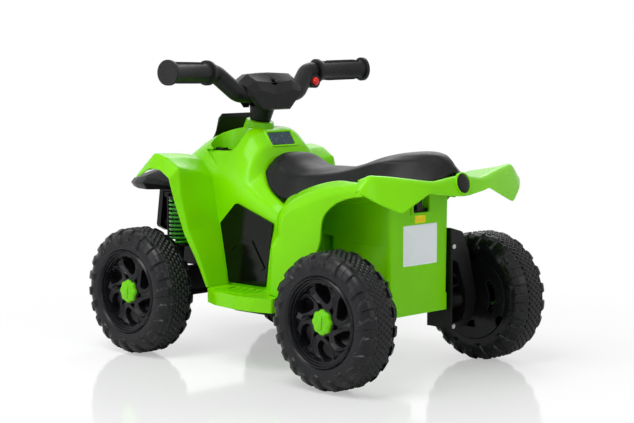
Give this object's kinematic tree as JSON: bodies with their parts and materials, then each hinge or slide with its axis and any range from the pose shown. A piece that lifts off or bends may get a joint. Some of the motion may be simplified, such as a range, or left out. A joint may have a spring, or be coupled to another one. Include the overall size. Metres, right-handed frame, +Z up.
{
  "type": "kids quad bike",
  "caption": "Battery ride-on quad bike for small children, with moulded body shell, raised fenders, saddle, raked handlebar, hollow plastic wheels and geared rear drive.",
  "frame": {"origin": "on the ground below the middle of the plan box", "axes": "+Z up, forward is -Y, the rider's left is +X"},
  "size_m": [0.4168, 0.616, 0.441],
  "materials": {
    "body_green": "smooth moulded, high gloss",
    "seat_black": "fine grained",
    "black_plastic": "fine grained, semi-matt",
    "grip_rubber": "ribbed, matt",
    "gloss_black": "mirror-like gloss",
    "steel": "zinc plated",
    "red_plastic": "gloss",
    "screen_glass": "smooth, dark",
    "lens_clear": "clear",
    "spring_green": "powder coated, gloss",
    "motor_steel": "drawn steel can",
    "gear_plastic": "natural nylon",
    "battery_case": "moulded case",
    "tyre_black": "blow moulded, fine grained",
    "cap_green": "gloss"
  },
  "bodies": {
    "frame": {"front_body_shell": "body_green", "rear_fender": "body_green", "battery_box": "body_green", "footboard_left": "body_green", "footboard_right": "body_green", "switch_frame": "black_plastic", "dash_screen": "screen_glass", "front_cowl": "black_plastic", "headlight_housing": "black_plastic", "lamp_lenses": "lens_clear", "front_guard": "black_plastic", "side_panel_left": "gloss_black", "side_panel_right": "gloss_black", "chassis_base": "black_plastic", "front_axle_beam": "black_plastic", "kingpins": "steel", "shock_strut_left": "black_plastic", "shock_strut_right": "black_plastic", "shock_spring_left": "spring_green", "shock_spring_right": "spring_green", "rear_axle": "steel", "rear_arm_left": "black_plastic", "rear_arm_right": "black_plastic", "gearbox_housing": "black_plastic", "gearbox_cover": "black_plastic", "motor": "motor_steel", "battery": "battery_case", "arm_screws": "steel", "badge": "gloss_black", "rear_axle_nuts": "steel"},
    "steering": {"handlebar": "black_plastic", "grip_left": "grip_rubber", "grip_right": "grip_rubber", "handlebar_cover": "black_plastic", "column_sleeve": "black_plastic", "steering_column": "steel"},
    "knuckle_left": {"knuckle_left": "steel", "front_nut_left": "steel"},
    "knuckle_right": {"knuckle_right": "steel", "front_nut_right": "steel"},
    "tie_rod": {"tie_rod": "black_plastic"},
    "button": {"red_button": "red_plastic"},
    "rocker": {"rocker": "black_plastic"},
    "seat": {"seat": "seat_black"},
    "latch": {"seat_latch": "black_plastic"},
    "motor_pinion": {"motor_pinion": "gear_plastic"},
    "reduction_gear": {"reduction_gear": "gear_plastic"},
    "wheel_front_left": {"wheel_front_left": "tyre_black", "hub_plate_front_left": "black_plastic", "hub_cap_front_left": "cap_green"},
    "wheel_front_right": {"wheel_front_right": "tyre_black", "hub_plate_front_right": "black_plastic", "hub_cap_front_right": "cap_green"},
    "wheel_rear_left": {"wheel_rear_left": "tyre_black", "hub_plate_rear_left": "black_plastic", "hub_cap_rear_left": "cap_green", "output_gear": "gear_plastic"},
    "wheel_rear_right": {"wheel_rear_right": "tyre_black", "hub_plate_rear_right": "black_plastic", "hub_cap_rear_right": "cap_green"}
  },
  "joints": [
    {"name": "steering", "type": "hinge", "parent": "frame", "child": "steering", "pos_m": [0, -0.096, 0.345], "axis": [0, 0.2113, 0.9774], "range_deg": [-20, 20]},
    {"name": "knuckle_left_turn", "type": "hinge", "parent": "frame", "child": "knuckle_left", "pos_m": [0.11, -0.189, 0.095], "axis": [0, 0, 1], "range_deg": [-20, 20]},
    {"name": "knuckle_right_turn", "type": "hinge", "parent": "frame", "child": "knuckle_right", "pos_m": [-0.11, -0.189, 0.095], "axis": [0, 0, 1], "range_deg": [-20, 20]},
    {"name": "tie_rod_turn", "type": "hinge", "parent": "knuckle_left", "child": "tie_rod", "pos_m": [0.11, -0.154, 0.086], "axis": [0, 0, 1], "range_deg": [-20, 20]},
    {"name": "button_press", "type": "slide", "parent": "steering", "child": "button", "axis": [0, 1, 0], "range_m": [-0.002, 0], "stiffness_N_per_m": 400},
    {"name": "rocker_turn", "type": "hinge", "parent": "frame", "child": "rocker", "pos_m": [0.06, -0.116, 0.303], "axis": [1, 0, 0], "range_deg": [-9, 9]},
    {"name": "seat_lift", "type": "slide", "parent": "frame", "child": "seat", "axis": [0, 0, 1], "range_m": [0, 0.12]},
    {"name": "latch_turn", "type": "hinge", "parent": "frame", "child": "latch", "pos_m": [0, 0.219, 0.2315], "axis": [1, 0, 0], "range_deg": [-30, 0]},
    {"name": "wheel_front_left_spin", "type": "hinge", "parent": "knuckle_left", "child": "wheel_front_left", "pos_m": [0.16, -0.189, 0.095], "axis": [1, 0, 0], "continuous": true},
    {"name": "wheel_front_right_spin", "type": "hinge", "parent": "knuckle_right", "child": "wheel_front_right", "pos_m": [-0.16, -0.189, 0.095], "axis": [1, 0, 0], "continuous": true},
    {"name": "wheel_rear_left_spin", "type": "hinge", "parent": "frame", "child": "wheel_rear_left", "pos_m": [0.16, 0.213, 0.095], "axis": [1, 0, 0], "continuous": true},
    {"name": "wheel_rear_right_spin", "type": "hinge", "parent": "frame", "child": "wheel_rear_right", "pos_m": [-0.16, 0.213, 0.095], "axis": [1, 0, 0], "continuous": true},
    {"name": "reduction_spin", "type": "hinge", "parent": "frame", "child": "reduction_gear", "pos_m": [0.075, 0.19082, 0.10886], "axis": [1, 0, 0], "continuous": true},
    {"name": "motor_spin", "type": "hinge", "parent": "frame", "child": "motor_pinion", "pos_m": [0.07, 0.17127, 0.11926], "axis": [1, 0, 0], "continuous": true}
  ],
  "couplings": [
    {"joint": "knuckle_left_turn", "follows": "steering", "ratio": 1},
    {"joint": "knuckle_right_turn", "follows": "steering", "ratio": 1},
    {"joint": "tie_rod_turn", "follows": "steering", "ratio": -1},
    {"joint": "reduction_spin", "follows": "wheel_rear_left_spin", "ratio": -3.3333},
    {"joint": "motor_spin", "follows": "wheel_rear_left_spin", "ratio": 11.333}
  ]
}
